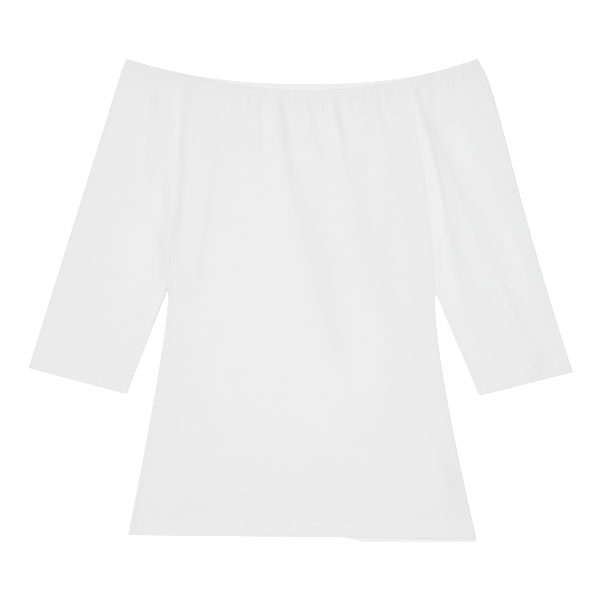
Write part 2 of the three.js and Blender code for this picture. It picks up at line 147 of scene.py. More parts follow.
# three points of a fold, its breadth towards -X and towards +X, and its height
FOLDS = [
    (-37, 272, -28, 190, -6, 100, 16, 10, 1.9), (-16, 160, -2, 50, 46, -80, 44, 24, 2.8),
    (44, 268, 50, 220, 62, 170, 7, 7, 1.1), (56, 200, 62, 110, 112, -50, 30, 22, 2.0),
    (100, 262, 118, 190, 150, 20, 30, 26, 1.7), (-122, 214, -130, 110, -150, 4, 28, 10, 1.4),
    (168, -172, 190, -235, 216, -296, 14, 9, 1.1), (-190, -200, -176, -250, -166, -300, 11, 11, 0.7),
    (148, 290, 186, 190, 194, 100, 8, 5, 1.7), (186, 165, 194, 85, 222, -22, 12, 13, 2.4),
    (160, 262, 206, 160, 238, 76, 16, 8, 1.5), (226, 100, 262, 40, 306, -60, 16, 7, 1.0),
    (198, 286, 246, 176, 288, 112, 20, 90, 2.0), (262, 146, 298, 70, 332, -30, 13, 70, 1.3),
    (234, 294, 250, 276, 266, 244, 4, 10, 0.6), (303, -64, 308, -84, 313, -106, 16, 16, 1.2),
    (-162.5, 296, -160, 200, -174, 78, 4.2, 7.5, 1.8), (-190, 170, -186, 120, -181, 66, 15, 9, 1.6),
    (-207, 266, -209, 200, -208, 120, 10, 9, 1.2), (-216, 122, -178, 66, -200, 0, 34, 10, 3.0),
    (-179, 20, -189, -4, -205, -48, 8, 5, 3.2), (-165, 170, -167, 110, -175, 48, 30, 6, 1.5),
]
DRIFT_POWER = 1.15  # a gather drifts a little faster as it runs down
WIDENS = 0.5  # what it gains in breadth on the way, as a share
PLUS_SIDE = 2.0  # how many times broader it is on its +X side
FADE_END = 1.2  # where it has faded out, in runs
HELD_FLAT = {"share": 0.55, "reach": 12.0}  # how much of a gather the casing's seam presses flat
FOLD_TAPER = (0.05, 0.95)  # the part of half a sine wave that a fold's height follows
NECK_LIFT = {"front": 2.1, "back": 0.5, "fade": 80.0}  # how high the elastic holds the cloth
SINK = {"front": 0.5, "back": 0.0}  # how far a layer may sink into the air under it
SOFTNESS = 0.35  # rounds the crease where a raised fold comes down to rest

# %% [markdown]
# ## Lines of the pattern
#
# Every edge is a simple curve: the neckline is a power curve, and seams and side edges are Bezier curves.
# Each helper takes a whole array of parameters and gives a whole array of points.

# %% Helpers for curves
def smooth(t):
    """0 below 0, 1 above 1, and 3t squared minus 2t cubed between."""
    t = np.clip(t, 0.0, 1.0)
    return t * t * (3.0 - 2.0 * t)


def mix(a, b, t):
    return a + (b - a) * t


def bell(distance, breadth):
    """exp(-(distance / breadth)^2): 1 in the middle, about a third one breadth away."""
    return np.exp(-((distance / breadth) ** 2))


def xy(x, y):
    """Points from arrays of x and y, broadcast against each other."""
    return np.stack(np.broadcast_arrays(np.asarray(x, float), np.asarray(y, float)), axis=-1)


def bezier(points, t):
    """Bernstein sum of the control points: each weighs choose(n, i) (1 - t)^(n - i) t^i."""
    t = np.asarray(t, float)[..., None]
    n = len(points) - 1
    return sum(
        math.comb(n, i) * (1 - t) ** (n - i) * t**i * np.asarray(p, float) for i, p in enumerate(points)
    )


def neck_point(layer, s, w):
    """Straight from the casing's lower edge at w = 0 to its upper edge at w = 1. Both edges are the middle
    height plus the rise times |s'|^power. s runs from -1 to 1 between the shoulder corners, and s' is s
    with its middle moved by the low shift."""
    middle_y, rise, power = NECKLINE[layer]
    s = np.asarray(s, float)
    lean = np.where(s < 0, CASING["lean_minus"], CASING["lean_plus"])
    climb = np.abs(s - NECK["low_shift"] * (1 - s**2)) ** power
    upper = xy(NECK["middle_x"] + s * NECK["half_width"], middle_y + rise * climb)
    lower = xy(
        NECK["middle_x"] + s * (NECK["half_width"] + lean),
        middle_y - CASING["depth"] + (rise + CASING["corner_rise"]) * climb,
    )
    return mix(lower, upper, np.asarray(w, float)[..., None])


def below_casing(layer, x, y):
    """How far a point lies below the casing's lower edge."""
    lean = np.where(x < NECK["middle_x"], CASING["lean_minus"], CASING["lean_plus"])
    s = np.clip((x - NECK["middle_x"]) / (NECK["half_width"] + lean), -1, 1)
    return neck_point(layer, s, np.zeros_like(s))[..., 1] - y


# %% Hem lines
def front_hem_y(x):
    """Straight between the two hem corners."""
    (x0, y0), (x1, y1) = SIDES["minus"]["hem_corner"], SIDES["plus"]["hem_corner"]
    return mix(y0, y1, (np.asarray(x, float) - x0) / (x1 - x0))


def back_hem_y(x):
    """The front's line, and a smooth step down to a level line from one place on."""
    step = smooth((x - BACK_HEM["step_from"]) / (BACK_HEM["step_to"] - BACK_HEM["step_from"]))
    return mix(front_hem_y(x) + BACK_HEM["tucked_up"], BACK_HEM["low_y"], step)


HEM_Y = {"front": front_hem_y, "back": back_hem_y}


def seam_lines(layer, side):
    """Control points of the armhole seam and the side seam, from the bottom up."""
    top = neck_point(layer, side["sign"] * side["seam_at_neck"], TUCK)
    hem_x = side["hem_corner"][0]
    corner = (hem_x, float(HEM_Y[layer](hem_x)))
    armhole = [side["underarm"], side["armhole_bend"], top]
    return armhole, [corner, side["side_bend"], side["underarm"]]


# %% [markdown]
# ## The height of the cloth
#
# A laid-out garment is a height field: for every point of the floor plan there is one height of the
# cloth above what it rests on. Gathers pull it down from a lifted neckline, folds add soft ridges, and a
# soft maximum with zero makes each fold come to rest gently instead of in a hard crease.

# %% The height field
def near_curve(points, x, y, steps=32):
    """Distance to a Bezier curve, taken as short straight steps, how far along it, 0 to 1, the nearest point
    is, and on which side: -1 to its right, seen along the curve, 1 to its left, and between beyond an end."""
    curve = bezier(points, np.linspace(0, 1, steps + 1))
    off = np.full(np.shape(x), np.inf)
    along, across = np.zeros(np.shape(x)), np.zeros(np.shape(x))
    for i in range(steps):
        (px, py), (qx, qy) = curve[i], curve[i + 1]
        length = math.hypot(qx - px, qy - py)
        k = np.clip(((x - px) * (qx - px) + (y - py) * (qy - py)) / length**2, 0, 1)
        d = np.hypot(x - mix(px, qx, k), y - mix(py, qy, k))
        nearer = d < off
        off = np.where(nearer, d, off)
        along = np.where(nearer, (i + k) / steps, along)
        across = np.where(nearer, ((qx - px) * (y - py) - (qy - py) * (x - px)) / length, across)
    return off, along, np.clip(across / np.maximum(off, TINY), -1, 1)


def gathers(layer, x, y):
    """Sum of troughs: depth, times a fade down the run, times a bell across, broader on the +X side. The
    casing's seam presses them partly flat."""
    drop = below_casing(layer, x, y)
    total = np.zeros(np.shape(x))
    for start, run, drift, breadth, depth in GATHERS[layer]:
        down = drop / run
        centre = start + drift * np.maximum(0, down) ** DRIFT_POWER
        widened = breadth * (1 + WIDENS * np.clip(down, 0, 1)) * np.where(x < centre, 1.0, PLUS_SIDE)
        total -= depth * (1 - smooth(down / FADE_END)) * bell(x - centre, widened)
    return total * (1 - HELD_FLAT["share"] * (1 - smooth(drop / HELD_FLAT["reach"])))


def long_folds(x, y):
    """Sum of ridges: height, times most of half a sine along, times a bell across. The breadth turns from one
    side's to the other's round the ends."""
    total = np.zeros(np.shape(x))
    for x0, y0, x1, y1, x2, y2, breadth_minus, breadth_plus, height in FOLDS:
        off, along, side = near_curve([(x0, y0), (x1, y1), (x2, y2)], x, y, steps=24)
        breadth = mix(breadth_minus, breadth_plus, smooth((side + 1) / 2))
        total += height * np.sin(np.pi * mix(*FOLD_TAPER, along)) * bell(off, breadth)
    return total


def loft(layer, x, y):
    """Neck lift plus gathers plus folds, kept above the layer's lowest place by a soft maximum."""
    lift = NECK_LIFT[layer] * (1 - smooth(below_casing(layer, x, y) / NECK_LIFT["fade"]))
    height = SINK[layer] + lift + gathers(layer, x, y)
    if layer == "front":
        height = height + long_folds(x, y)
    return np.maximum(0, (height + np.hypot(height, SOFTNESS)) / 2 - SOFTNESS / 2) - SINK[layer]


# %% [markdown]
# ## Small puckers
#
# Elastic also draws the cloth into dozens of small puckers, much finer than the gathers. Their places are
# spaced unevenly by a seeded generator, so they never look like a comb and still come out the same on
# every run.

# %% Small puckers along the casing
PUCKER = {
    "seed": 11, "spacing": 5.4, "spacing_share": (0.6, 1.4), "breadth": 1.9, "past_corner": 8,
    "height": 0.3, "height_share": (0.3, 1.4), "middle": (-6.0, 5.0), "length": (3.5, 11.0),
}


def pucker_row():
    """Places, heights, middles and lengths: uneven spacings, added up from corner to corner. A middle is a
    distance below the casing's lower edge."""
    rng = np.random.default_rng(PUCKER["seed"])
    half = NECK["half_width"] + PUCKER["past_corner"]
    count = int(2 * half / PUCKER["spacing"])
    places = np.cumsum(PUCKER["spacing"] * rng.uniform(*PUCKER["spacing_share"], count)) - half
    heights = PUCKER["height"] * rng.uniform(*PUCKER["height_share"], count)
    middles = rng.uniform(*PUCKER["middle"], count)
    lengths = rng.uniform(*PUCKER["length"], count)
    return places, heights, middles, lengths


PUCKER_ROWS = np.stack(pucker_row(), axis=1)
print(len(PUCKER_ROWS), "small puckers along each run of the casing")


def puckers(x, drop):
    """Ridges at the pucker places: height, times a bell across, times another along each one's own length.
    Past four breadths it is next to nothing and left out."""
    total = np.zeros(np.shape(x))
    for place, height, middle, length in PUCKER_ROWS:
        near = np.abs(x - place) < 4 * PUCKER["breadth"]
        along = bell(drop[near] - middle, length)
        total[near] += height * along * bell(x[near] - place, PUCKER["breadth"])
    return total


# %% [markdown]
# ## From outline to grid
#
# A panel is a patch between four edges. Blending opposite edges and taking the corners off once gives a
# point for every pair of parameters (a Coons patch), so a grid of parameters becomes a grid of cloth.

# %% Patches
def coons(bottom, top, left, right, u, v):
    """(1 - v) bottom + v top + (1 - u) left + u right, minus the blend of the four corners."""
    u_, v_ = u[None, :, None], v[:, None, None]
    low, high = bottom(u)[None], top(u)[None]
    corners = (
        (1 - u_) * (1 - v_) * low[:, :1] + u_ * (1 - v_) * low[:, -1:]
        + (1 - u_) * v_ * high[:, :1] + u_ * v_ * high[:, -1:]
    )
    return (1 - v_) * low + v_ * high + (1 - u_) * left(v)[:, None] + u_ * right(v)[:, None] - corners


def spaced(count, fine=()):
    """Even places from 0 to 1, with the finer ones of a list added, each place once."""
    every = np.concatenate([np.linspace(0, 1, count + 1), np.asarray(fine, float)])
    return np.unique(np.round(every, 7))


def near_ends(length, steps=(0.04, 0.25, 0.6, 1.1, 1.7, 2.5)):
    """Places close to both ends of a length, for an edge that rounds over."""
    steps = np.asarray(steps) / length
    return np.concatenate([steps, 1 - steps])


def body_outline(layer):
    """The four edges of a body panel: u runs from -X to +X and v from the hem to the casing."""
    def edge(side):
        armhole, side_seam = seam_lines(layer, side)
        def at(v):
            low = bezier(side_seam, v / UNDERARM_SHARE)
            high = bezier(armhole, (v - UNDERARM_SHARE) / (1 - UNDERARM_SHARE))
            return np.where(v[:, None] < UNDERARM_SHARE, low, high)
        return at

    left, right = edge(SIDES["minus"]), edge(SIDES["plus"])
    hem_ends = left(np.zeros(1))[0, 0], right(np.zeros(1))[0, 0]
    neck_ends = -SIDES["minus"]["seam_at_neck"], SIDES["plus"]["seam_at_neck"]

    def bottom(u):
        x = mix(*hem_ends, u)
        return xy(x, HEM_Y[layer](x))

    def top(u):
        return neck_point(layer, mix(*neck_ends, u), np.full_like(u, TUCK))

    return bottom, top, left, right


def raised(plan, height):
    """Points of the floor plan with their heights."""
    return np.concatenate([plan, height[..., None]], axis=-1)


# %% [markdown]
# ## Closed shells
#
# Cloth has two faces and an edge, so each piece is a closed shell: an upper grid, a lower grid and a rim
# that joins them. The UV map is in metres along the cloth, so the knit keeps its size on every piece.

# %% Mesh builders
def mesh_piece(name, points, faces, uv, masks=None):
    """A mesh object from arrays of points in millimetres, quads, one UV pair a point, and named masks with
    one value a point."""
    mesh = bpy.data.meshes.new(name)
    mesh.from_pydata((points * MM).tolist(), [], faces.tolist())
    mesh.update()
    loops = np.empty(len(mesh.loops), dtype=np.int32)
    mesh.loops.foreach_get("vertex_index", loops)
    cloth_uv = mesh.uv_layers.new(name="cloth_uv")
    cloth_uv.data.foreach_set("uv", (uv[loops] * MM).astype(np.float32).ravel())
    for label, values in (masks or {}).items():
        attribute = mesh.attributes.new(label, "FLOAT", "POINT")
        attribute.data.foreach_set("value", values.astype(np.float32).ravel())
    mesh.shade_smooth()
    print(f"{name}: {len(points)} points, {2 * len(faces)} triangles")
    return put(name, mesh)


def grid_faces(index, ring=False):
    """Quads of a grid of point numbers, closed on itself across where ring is true."""
    if ring:
        index = np.concatenate([index, index[:, :1]], axis=1)
    a, b, c, d = index[:-1, :-1], index[:-1, 1:], index[1:, 1:], index[1:, :-1]
    return np.stack([a, b, c, d], axis=-1).reshape(-1, 4)


def two_faces(name, outer, inner, faces, uv, masks):
    """A piece from two grids of points that share their UV map and their masks."""
    points = np.concatenate([outer.reshape(-1, 3), inner.reshape(-1, 3)])
    both = {label: np.concatenate([mask.ravel()] * 2) for label, mask in masks.items()}
    return mesh_piece(name, points, faces, np.concatenate([uv.reshape(-1, 2)] * 2), both)


def joined(front, back):
    """One ring across from two layers: the front's columns, and the back's in between on the way home."""
    return np.concatenate([front, back[:, -2:0:-1]], axis=1)


def sheet_shell(name, upper, lower, uv, masks):
    """Upper grid, lower grid turned over, and a rim along the four edges."""
    rows, columns = upper.shape[:2]
    top = np.arange(rows * columns).reshape(rows, columns)
    low = top + rows * columns
    rim = np.concatenate([top[0, :], top[1:, -1], top[-1, -2::-1], top[-2:0:-1, 0]])
    rims = grid_faces(np.stack([rim + rows * columns, rim]), ring=True)
    faces = np.concatenate([grid_faces(top), grid_faces(low)[:, ::-1], rims])
    return two_faces(name, upper, lower, faces, uv, masks)


def tube_shell(name, outer, inner, uv, masks, turned):
    """Outer rings, inner rings turned over, and a rim at each open end."""
    rows, around = outer.shape[:2]
    out = np.arange(rows * around).reshape(rows, around)
    inn = out + rows * around
    low_rim = grid_faces(np.stack([inn[0], out[0]]), ring=True)
    high_rim = grid_faces(np.stack([out[-1], inn[-1]]), ring=True)
    faces = np.concatenate([grid_faces(out, True), grid_faces(inn, True)[:, ::-1], low_rim, high_rim])
    if turned:
        faces = faces[:, ::-1]
    return two_faces(name, outer, inner, faces, uv, masks)


# %% [markdown]
# ## Surface detail that all panels share
#
# The turned-up hem is a second layer of cloth: the surface stands a little higher up to its stitching and
# eases down above it. A seam is a fine groove, with its allowances pressed to one side, where they lift
# the cloth by a tenth of a millimetre for 7 mm. Where two layers meet at an edge they round together.

# %% Edges and trapped air
EDGE = {"wide": 3.0, "tight": 0.5, "tight_share": 0.9}
FOLDED_EDGE = {"fall": 0.25, "radius": 0.5}  # how the turned-up cloth rounds down on its fold


def quarter_round(from_edge, radius):
    """Quarter circle: 0 on an edge, 1 from the radius on."""
    return np.sqrt(1 - (1 - np.clip(from_edge / radius, 0, 1)) ** 2)


def rounded(from_edge):
    """0 on a folded or seamed edge and 1 away from it: a wide quarter sine mixed with a tight quarter
    circle on the edge itself."""
    wide = np.sin(np.clip(from_edge / EDGE["wide"], 0, 1) * np.pi / 2)
    return mix(wide, quarter_round(from_edge, EDGE["tight"]), EDGE["tight_share"])


def trapped_air(from_hem, from_side):
    """The least air plus the rest of it, eased in from a hem and from a side edge."""
    share = smooth(from_hem / AIR["from_hem"]) * smooth(from_side / AIR["from_side"])
    return mix(AIR["at_edge"], AIR["inside"], share)


def from_nearer(lines, x, y):
    """Distance to the nearer of two curves."""
    return np.minimum(*[near_curve(line, x, y)[0] for line in lines])


ARMHOLES, SIDE_SEAMS = zip(*[seam_lines("front", side) for side in SIDES.values()])


# %% Turn-ups, seams and a gentle unevenness
SEAM = {
    "groove": 0.2, "groove_width": 1.2, "at_casing": 0.05,
    "ridge": 0.1, "ridge_start": 3.0, "allowance": 7.0, "ridge_end": 5.0,
}
UNEVEN = {"seed": 5, "waves": 26, "shortest": 35.0, "longest": 150.0, "height": 0.07, "starts_over": 40}
WAVES = np.random.default_rng(UNEVEN["seed"]).uniform(0, 1, (UNEVEN["waves"], 4))
RIPPLE = {"height": 0.1, "strongest": 15, "reach": 11, "wander": 47}
# length along the hem and up from it, strength, phase, and how far the phase wanders
RIPPLES = [(17.3, 41, 1.0, 0.7, 0.0), (29.1, -23, 0.8, 0.0, 2.0), (9.9, 31, 0.4, 1.9, 0.0)]


def turn_up(from_edge):
    """1 within the turned-up depth, easing to 0 over the step above it."""
    return 1 - smooth((from_edge - TURN_UP["depth"]) / TURN_UP["step"])


def hem_fold(from_edge):
    """How far a turned-up layer's face rounds down: all of its fall on the fold, none a radius in."""
    return FOLDED_EDGE["fall"] * (1 - quarter_round(from_edge, FOLDED_EDGE["radius"]))


def seam_groove(from_seam, depth):
    """A dip along a seam, a bell across."""
    return -depth * bell(from_seam, SEAM["groove_width"])


def allowance_ridge(from_seam):
    """A plateau that starts beside the seam and ends softly at the allowance's cut edge."""
    ending = 1 - smooth((from_seam - SEAM["allowance"]) / SEAM["ridge_end"])
    return SEAM["ridge"] * smooth(from_seam / SEAM["ridge_start"]) * ending


def unevenness(x, y):
    """Sum of faint sine waves, the longer the higher, in seeded lengths, directions, phases and strengths.
    They are drawn out along Y, as cloth that hangs is."""
    total = np.zeros(np.shape(x))
    for size, turn, phase, strength in WAVES:
        length = mix(UNEVEN["shortest"], UNEVEN["longest"], size)
        angle = 2 * np.pi * turn
        across = x * math.cos(angle) + y * math.sin(angle) * 0.6
        wave = length / UNEVEN["longest"] * np.sin(2 * np.pi * (across / length + phase))
        total += wave * mix(0.4, 1.0, strength)
    return UNEVEN["height"] * total


def hem_ripple(along, from_edge):
    """Sum of sine waves along a stitched turn-up, times a bell that is strongest near its stitching."""
    total = np.zeros(np.shape(along))
    for length, rise, strength, phase, wander in RIPPLES:
        turned = phase + wander * np.sin(along / RIPPLE["wander"])
        total += strength * np.sin(2 * np.pi * (along / length + from_edge / rise) + turned)
    return RIPPLE["height"] * total * bell(from_edge - RIPPLE["strongest"], RIPPLE["reach"])


def neck_finish(x, drop):
    """Puckers and the groove of the casing's seam. A panel's last edge slopes down inside the casing."""
    tucked = TUCK_FALL * smooth(-drop / (TUCK * CASING["depth"]))
    return puckers(x, drop) + seam_groove(drop, SEAM["at_casing"]) - tucked


# %% [markdown]
# ## Painted shade
#
# Little light gets in where cloth is drawn or bunched together, and at an edge it turns away from the
# light. That shade is painted into the cloth's colour: masks from 0 to 1 say where, and the materials mix
# in darker tones by them. An oval on the front and a wide zone along the body's sides and hem get painted
# shade too. The bunched places are a table, as the folds are.

# %% Masks of painted shade
# painted shade, darkest at the casing and fading below it over this many millimetres
SHADE_FADE_BELOW_CASING = 26  # the elastic draws the wales together at the casing, and less and less below it
# an oval of painted shade on the front
SHADE_OVAL = {"x": 45, "y": 80, "half_width": 105, "half_height": 120, "darkness": 0.6}
BUNCH_TAPER = (0.12, 0.88)  # the part of half a sine wave that the darkness follows along a place
# painted shade at edges, stronger at -X edges, and in a wide zone along the body's sides and hem
EDGE_SHADE = {"at_minus_x": 0.9, "at_plus_x": 0.3, "fade": 5}
OUTLINE_SHADE = {"side": 0.45, "hem": 0.35, "fade": 50}
# three points of a bunched place of painted shade, its breadth, and how dark the shade is painted, where 1 or
# more is darkest
BUNCHED_SHADE = [
    (162, 288, 184, 202, 211, 124, 10, 1.1), (-154, 286, -158, 229, -165, 148, 7, 0.8),
    (-196, 284, -196, 264, -198, 242, 9, 1.0), (-181, 150, -177, 101, -187, 50, 8, 1.3),
    (209, -216, 202, -257, 216, -300, 14, 0.8), (322, -66, 326, -86, 334, -106, 16, 0.6),
    (-166, -254, -150, -272, -136, -288, 10, 0.5), (-324, -72, -316, -82, -310, -92, 5, 0.7),
    (266, 29, 297, -27, 315, -61, 6, 0.6), (155, 224, 170, 135, 181, 8, 2.2, 1.1),
    (-160, 215, -166, 120, -174, 10, 4, 0.9), (248, -104, 285, -94, 322, -82, 22, 0.45),
    (124, 30, 128, -80, 135, -200, 24, 0.35), (0, 162, 11, 67, 59, -98, 14, 0.85),
    (108, 216, 119, 67, 119, -41, 16, 0.75), (84, 236, 82, 200, 86, 148, 16, 0.55),
    (151, 13, 154, -54, 149, -203, 12, 0.45), (-140, 167, -154, 87, -148, 33, 18, 0.32),
    (248, 51, 262, -27, 270, -92, 16, 0.4), (-135, 228, 0, 222, 150, 232, 45, 0.36),
    (-176, -230, -150, -258, -110, -262, 30, 0.25), (158, 310, 173, 258, 186, 212, 9.5, 1.0),
    (-174, 141, -171, 87, -175, 33, 8, 1.2), (-172, 60, -174, 20, -178, -20, 5, 1.0),
]


def painted_gather_shade(x, y):
    """Painted shade, the darkest of exp(-drop / fade) below the casing and of the bunched places: darkness,
    times most of half a sine along, times a bell across."""
    darkest = np.exp(-np.maximum(0, below_casing("front", x, y)) / SHADE_FADE_BELOW_CASING)
    for x0, y0, x1, y1, x2, y2, breadth, darkness in BUNCHED_SHADE:
        off, along, _ = near_curve([(x0, y0), (x1, y1), (x2, y2)], x, y, steps=12)
        place = darkness * np.sin(np.pi * mix(*BUNCH_TAPER, along)) * bell(off, breadth)
        darkest = np.maximum(darkest, place)
    return darkest


def painted_shade_oval(x, y):
    """An oval of painted shade right of the front's middle."""
    oval = bell(x - SHADE_OVAL["x"], SHADE_OVAL["half_width"]) * bell(y - SHADE_OVAL["y"], SHADE_OVAL["half_height"])
    return SHADE_OVAL["darkness"] * oval


def at_edge(from_edge, at_minus_x):
    """Painted shade right at an edge, more so at one towards -X: exp(-distance / fade)."""
    strength = np.where(at_minus_x, EDGE_SHADE["at_minus_x"], EDGE_SHADE["at_plus_x"])
    return strength * np.exp(-np.maximum(0, from_edge) / EDGE_SHADE["fade"])


def painted_outline_shade(from_side, from_hem):
    """Painted shade: a bell over the wide zone along a body panel's sides and, weaker, its hem,
    whichever is darker.
    """
    side, hem = [bell(distance, OUTLINE_SHADE["fade"]) for distance in (from_side, from_hem)]
    return np.maximum(OUTLINE_SHADE["side"] * side, OUTLINE_SHADE["hem"] * hem)


# %% [markdown]
# ## The back panel
#
# It lies on the floor, so its underside is flat but for a little lift at the neckline. Only a strip of its
# hem shows, because it hangs a few millimetres lower than the front there.

# %% The back panel
AT_SIDE_SEAM = CLOTH + AIR["at_edge"] / 2  # the height at which front and back are joined
SIDE_EDGE = {"near": 0.05, "far": 0.35}  # a panel's two faces there, from that height
# even columns and rows of each grid, and about how many millimetres it is across and from end to end
GRID = {
    "back": {"columns": 110, "rows": 110, "width": 400.0, "length": 609.0},
    "front": {"columns": 196, "rows": 168, "width": 360.0, "length": 604.0},
    "sleeve": {"columns": 108, "rows": 150, "width": 131.0, "length": 440.0},
}
# where a grid has finer rows, from the folded edge up, and from the casing down
NEAR_HEM = (0.1, 0.25, 0.5, 0.9, 1.4, 19.0, 19.8, 20.6, 21.4, 22.2, 23.5)
NEAR_NECK = {
    "back": (0.6, 1.2, 2, 3.5, 5.5, 8, 11, 15),
    "front": (0.3, 0.5, 0.55, 0.6, 0.65, 0.7, 0.8, 1.1, 1.8, 2.6, 4.6, 5.8, 8.2, 9.5, 12, 13.2, 16, 19),
    "sleeve": (0.04, 0.3, 0.5, 0.55, 0.6, 0.65, 0.7, 0.8, 1.1, 1.8, 2.6, 4.2, 6),
}


def grid_places(piece, *also):
    """Places across a grid and up it: the even ones, the finer ones, and across also the ones given."""
    width, length = GRID[piece]["width"], GRID[piece]["length"]
    finer_rows = [*(np.array(NEAR_HEM) / length), *(1 - np.array(NEAR_NECK[piece]) / length)]
    return spaced(GRID[piece]["columns"], [*near_ends(width), *also]), spaced(GRID[piece]["rows"], finer_rows)


def back_panel():
    """The back: its lower face follows the loft, and both faces ease to one height at the side seams."""
    points = coons(*body_outline("back"), *grid_places("back"))
    x, y = points[..., 0], points[..., 1]
    from_hem = y - back_hem_y(x)
    full = rounded(from_nearer(SIDE_SEAMS, x, y))
    layers = turn_up(from_hem)
    low = loft("back", x, y)
    top = low + CLOTH + TURN_UP["extra"] * layers + hem_ripple(x, from_hem) - hem_fold(from_hem)
    upper = mix(AT_SIDE_SEAM - SIDE_EDGE["near"], top, full)
    lower = mix(AT_SIDE_SEAM - SIDE_EDGE["far"], low, full)
    return sheet_shell("back_panel", raised(points, upper), raised(points, lower), points, {"layers": layers})


back_piece = back_panel()

# %% [markdown]
# ## The front panel
#
# The front carries most of what the photograph shows. Its edges round down to meet the back along the
# side seams, run into the grooves of the raglan seams, and end in puckers under the casing.

# %% The front panel
def two_layers(x, y, from_turn_up, from_side, drop):
    """Height on top of both layers away from seams: cloth, turn-ups, air, gathers, folds and unevenness."""
    stack = 2 * CLOTH + 2 * TURN_UP["extra"] * turn_up(from_turn_up) + trapped_air(from_turn_up, from_side)
    uneven = unevenness(x, y) * smooth(drop / UNEVEN["starts_over"])
    return stack + (loft("back", x, y) + loft("front", x, y) + uneven)


def front_height(x, y):
    """Height of the front's upper face away from its side edges: both layers, seams, puckers and ripple."""
    from_hem, from_side = y - front_hem_y(x), from_nearer(SIDE_SEAMS, x, y)
    drop = below_casing("front", x, y)
    seams = seam_groove(from_nearer(ARMHOLES, x, y), SEAM["groove"]) + allowance_ridge(from_side)
    cloth = two_layers(x, y, from_hem, from_side, drop)
    return cloth + seams + neck_finish(x, drop) + hem_ripple(x, from_hem)


def front_panel():
    """The front: its lower face is one layer under its upper face, and both ease down to the back at the
    side seams."""
    points = coons(*body_outline("front"), *grid_places("front"))
    x, y = points[..., 0], points[..., 1]
    from_hem, from_side = y - front_hem_y(x), from_nearer(SIDE_SEAMS, x, y)
    full = rounded(from_side)
    layers = turn_up(from_hem)
    top = front_height(x, y)
    under = top - CLOTH - TURN_UP["extra"] * layers
    upper = mix(AT_SIDE_SEAM + SIDE_EDGE["far"], top - hem_fold(from_hem), full)
    lower = mix(AT_SIDE_SEAM + SIDE_EDGE["near"], under, full)
    # drawn and edge are painted shade; layers marks the doubled turn-up
    masks = {
        "layers": layers,
        "drawn": np.maximum(painted_gather_shade(x, y), painted_shade_oval(x, y)),
        "edge": at_edge(from_side, x < 0) + painted_outline_shade(from_side, from_hem),
    }
    return sheet_shell("front_panel", raised(points, upper), raised(points, lower), points, masks)


front_piece = front_panel()

# %% [markdown]
# ## The sleeves
#
# A sleeve is a tube pressed flat. Its ring of points runs over the front layer from the underarm seam to
# the outer fold, and back under it. Near both ends of the flattened ring the two layers round together.
# The knit runs along the sleeve, so its UV map is turned with the sleeve and unrolled over the fold.

# %% Outline of a sleeve
def cuff_axes(side):
    """The cuff's inner corner, and unit vectors along the cuff and up the sleeve."""
    inner, outer = np.array(side["cuff_inner"]), np.array(side["cuff_outer"])
    along = (outer - inner) / np.linalg.norm(outer - inner)
    return inner, along, np.array([-along[1], along[0]]) * side["sign"]


def cuff_edge(side, u):
    """The cuff's edge: straight, with both corners drawn up by radius (1 - sqrt(1 - 0.8 inset^2))."""
    inner, along, up = cuff_axes(side)
    width = np.linalg.norm(np.array(side["cuff_outer"]) - inner)
    inset = 1 - np.minimum(1, np.minimum(u, 1 - u) * width / CUFF_CORNER)
    drawn_up = CUFF_CORNER * (1 - np.sqrt(1 - 0.8 * inset**2))
    return inner + u[:, None] * width * along + drawn_up[:, None] * up


def sleeve_edges(side):
    """Control points of the underarm seam and of the outer fold, from the cuff up."""
    ends = cuff_edge(side, np.array([0.0, 1.0]))
    fold_top = neck_point("front", float(side["sign"]), TUCK)
    return [ends[0], np.array(side["underarm"])], [ends[1], *side["fold_bends"], fold_top]


def sleeve_outline(layer, side):
    """The four edges of one layer: u runs from the underarm seam to the fold, v from the cuff up."""
    armhole, _ = seam_lines(layer, side)
    underarm_seam, fold = sleeve_edges(side)

    def top(u):
        share = (u - ARMHOLE_SHARE) / (1 - ARMHOLE_SHARE)
        s = side["sign"] * mix(side["seam_at_neck"], 1, share)
        on_neck = neck_point(layer, s, np.full_like(u, TUCK))
        return np.where(u[:, None] < ARMHOLE_SHARE, bezier(armhole, u / ARMHOLE_SHARE), on_neck)

    return (
        lambda u: cuff_edge(side, u), top,
        lambda v: bezier(underarm_seam, v), lambda v: bezier(fold, v),
    )


# %% Height of a sleeve
def sleeve_height(side, x, y):
    """Height of a sleeve's upper face away from its edges: both layers, seams, puckers and ripple."""
    inner, along, up = cuff_axes(side)
    from_cuff = (x - inner[0]) * up[0] + (y - inner[1]) * up[1]
    along_cuff = (x - inner[0]) * along[0] + (y - inner[1]) * along[1]
    from_edge = from_nearer(sleeve_edges(side), x, y)
    from_seam, drop = near_curve(seam_lines("front", side)[0], x, y)[0], below_casing("front", x, y)
    seams = seam_groove(from_seam, SEAM["groove"]) + allowance_ridge(from_seam)
    cloth = two_layers(x, y, from_cuff, from_edge, drop)
    return cloth + seams + neck_finish(x, drop) + hem_ripple(along_cuff, from_cuff)


# %% The sleeves
END_SLOPE = 400  # makes u's distance from 0 or 1 a length, 0 on the edges and soon past what rounds them


